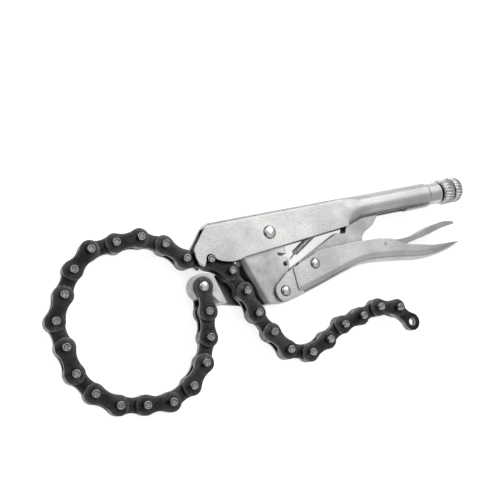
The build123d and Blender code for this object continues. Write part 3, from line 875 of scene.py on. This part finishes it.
# %% [markdown]
# ## Floor
# The tool lies on a plain pale table. A lit white floor never comes out as even white, and more light
# would only bleach the metal. So the floor glows as well, but only for rays that come from the camera or
# from a mirroring surface, which the Light Path node tells apart. It still takes the tool's shadow.

# %% Floor
FLOOR_HALF = 3.0
GLOW_TO_CAMERA, GLOW_TO_METAL = 0.74, 0.5
floor_bm = bmesh.new()
bmesh.ops.create_grid(floor_bm, x_segments=1, y_segments=1, size=FLOOR_HALF)
floor_mesh = bpy.data.meshes.new("floor")
floor_bm.to_mesh(floor_mesh)
floor_bm.free()
floor = add_object("floor", floor_mesh)
floor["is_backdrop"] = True
pale = bpy.data.materials.new("pale_floor")
pale.use_nodes = True
tree = pale.node_tree
shader = tree.nodes["Principled BSDF"]
shader.inputs["Base Color"].default_value = (0.86, 0.87, 0.88, 1)
shader.inputs["Roughness"].default_value = 0.9
shader.inputs["Specular IOR Level"].default_value = 0.0
ray = tree.nodes.new("ShaderNodeLightPath")
to_camera = calculate(tree, "MULTIPLY", ray.outputs["Is Camera Ray"], GLOW_TO_CAMERA)
strength = calculate(tree, "MULTIPLY_ADD", ray.outputs["Is Glossy Ray"], GLOW_TO_METAL, to_camera)
glow = tree.nodes.new("ShaderNodeEmission")
feed(tree, glow.inputs["Strength"], strength)
total = tree.nodes.new("ShaderNodeAddShader")
feed(tree, total.inputs[0], shader.outputs[0])
feed(tree, total.inputs[1], glow.outputs[0])
feed(tree, tree.nodes["Material Output"].inputs["Surface"], total.outputs[0])
floor_mesh.materials.append(pale)
print("floor:", 2 * FLOOR_HALF, "m wide")

# %% [markdown]
# ## Sky
# Bright metal has hardly a colour of its own and shows the room instead, so a photographer hangs cards
# round a tool. A picture of a studio could be loaded as a world, but a few nodes do as well: the sky
# grows from dark at the horizon to light overhead. One dark patch in it stands for a black card behind
# the camera, and faces that are turned towards the lens take a deeper grey from it. The camera itself
# sees plain white instead of this sky.

# %% World
HORIZON, ZENITH, ZENITH_FROM = 0.14, 0.70, 0.85
DARK_CARD = Vector((-0.46, -0.12, 0.88))
CARD_EDGE, CARD_LEVEL = (0.91, 0.96), 0.05
world = bpy.data.worlds.new("studio")
bpy.context.scene.world = world
world.use_nodes = True
tree = world.node_tree
place = tree.nodes.new("ShaderNodeTexCoord").outputs["Generated"]
split = tree.nodes.new("ShaderNodeSeparateXYZ")
feed(tree, split.inputs[0], place)
sky = remap(tree, split.outputs["Z"], (0.0, ZENITH_FROM), (HORIZON, ZENITH))
card = remap(tree, likeness(tree, place, DARK_CARD.normalized()), CARD_EDGE, (1.0, CARD_LEVEL))
ray = tree.nodes.new("ShaderNodeLightPath")
room = calculate(tree, "MULTIPLY", sky, card)
background = tree.nodes["Background"]
background.inputs["Color"].default_value = (1, 1, 1, 1)
feed(tree, background.inputs["Strength"], mix(tree, ray.outputs["Is Camera Ray"], room, 1.0, colours=False))
print("sky from", HORIZON, "at the horizon to", ZENITH, "overhead")

# %% [markdown]
# ## Lamps
# Large soft lamps light a tool in a studio. A sun would give hard shadows, so these are area lamps. The
# key is the largest and strongest, and it hangs behind the tool on the right, where its light rakes
# towards the camera and rounds off the chain. A lower lamp further back, one in front and one on the left
# put highlights on the sides that the key leaves dark.


# %% Lamps
def lamp(name, spot, target, size, power):
    """A square area lamp that looks at a point."""
    data = bpy.data.lights.new(name, "AREA")
    data.size = size
    data.energy = power
    obj = add_object(name, data)
    obj.location = spot
    obj.rotation_mode = "QUATERNION"
    obj.rotation_quaternion = (Vector(target) - Vector(spot)).to_track_quat("-Z", "Y")


lamp("key", (0.50, 0.50, 0.85), (0.05, 0.05, 0), size=0.8, power=2.2)
lamp("back", (0.75, 0.85, 0.40), (0.08, 0, 0), size=0.5, power=1.1)
lamp("front", (0.60, -0.75, 0.45), (0.08, 0, 0), size=0.5, power=0.3)
lamp("fill", (-0.6, 0.7, 0.5), (0, 0, 0), size=0.5, power=0.8)
print(len(bpy.data.lights), "lamps")

# %% [markdown]
# ## Camera
# The photograph was taken from above on the left. The view could be set by eye, but the chain's pins are
# evenly spaced, so fitting them to the photograph gave the camera's place, its turn and its lens at
# once. The three vectors are its right, up and forward directions. The view transform is Standard, so a
# colour renders about as it is written.

# %% Camera
CAMERA_FROM_RIVET = Vector((-228.6, -59.6, 434.0)) * MM
RIGHT = Vector((0.878, -0.256, 0.405))
UP = Vector((0.185, 0.961, 0.206))
AHEAD = Vector((0.441, 0.106, -0.891))
lens = bpy.data.cameras.new("camera")
lens.sensor_width = 36.0
lens.lens = 53.6
lens.clip_start, lens.clip_end = 0.01, 20.0
camera = add_object("camera", lens)
turn = Matrix((RIGHT, UP, -AHEAD)).transposed().to_4x4()
camera.matrix_world = Matrix.Translation(main_pivot + CAMERA_FROM_RIVET) @ turn
bpy.context.scene.camera = camera
bpy.context.scene.view_settings.view_transform = "Standard"
print("camera to main rivet in mm:", round(CAMERA_FROM_RIVET.length / MM))

# %% [markdown]
# ## Measure and finish
# The CAD model holds the tool's real size, and nothing that was built here may make it larger or smaller.
# Each piece could be measured on its own, but a slip shows in the whole model's box too, so that box is
# measured and printed.

# %% Finish
low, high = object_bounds()
print("visual size in mm:", [round(1000 * d, 1) for d in high - low])
